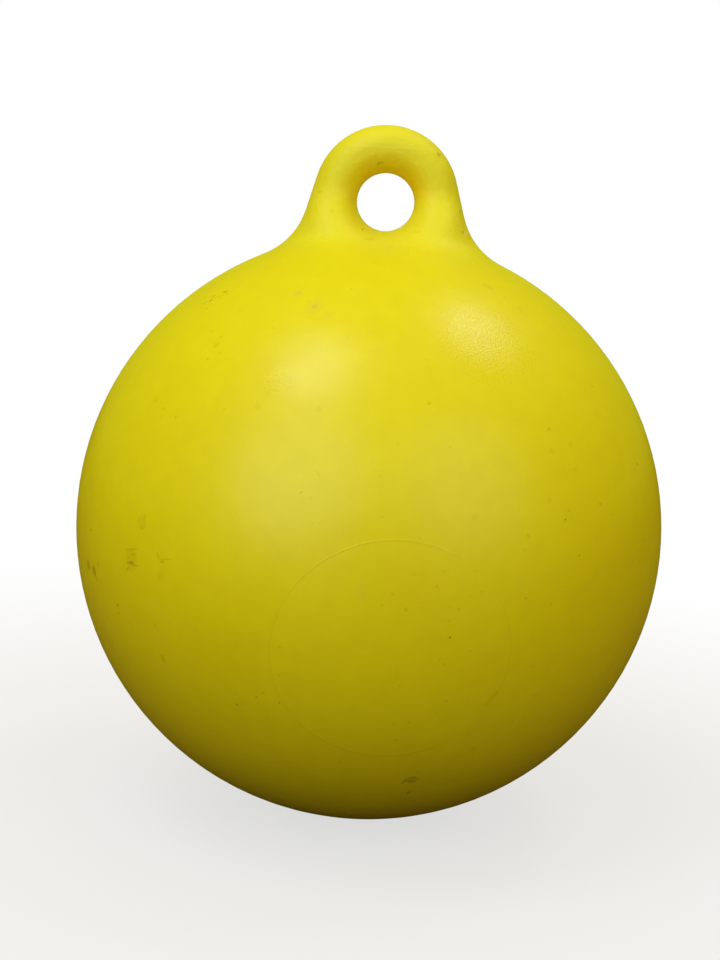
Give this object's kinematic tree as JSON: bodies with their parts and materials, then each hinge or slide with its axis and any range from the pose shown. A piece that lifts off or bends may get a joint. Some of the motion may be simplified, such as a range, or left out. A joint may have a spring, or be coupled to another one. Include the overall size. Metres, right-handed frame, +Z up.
{
  "type": "mussel float",
  "caption": "Hollow yellow ball float with a moulded eye lug on its crown, welded from half shells, with a screwed filler plug in its back.",
  "frame": {"origin": "centre of the ball, which is the float's nominal waterline", "axes": "+Z up through the eye's centre, -Y out of the front half shell and along the eye, +X to the right seen from the front"},
  "size_m": [0.3, 0.3, 0.3543],
  "materials": {
    "shell": "satin moulded polyethylene, scuffed",
    "washer": "matte rubber",
    "plug": "matte moulded polyethylene"
  },
  "bodies": {
    "root": {"shell_front": "shell", "shell_back": "shell", "plug_washer": "washer", "filler_plug": "plug"}
  },
  "joints": []
}
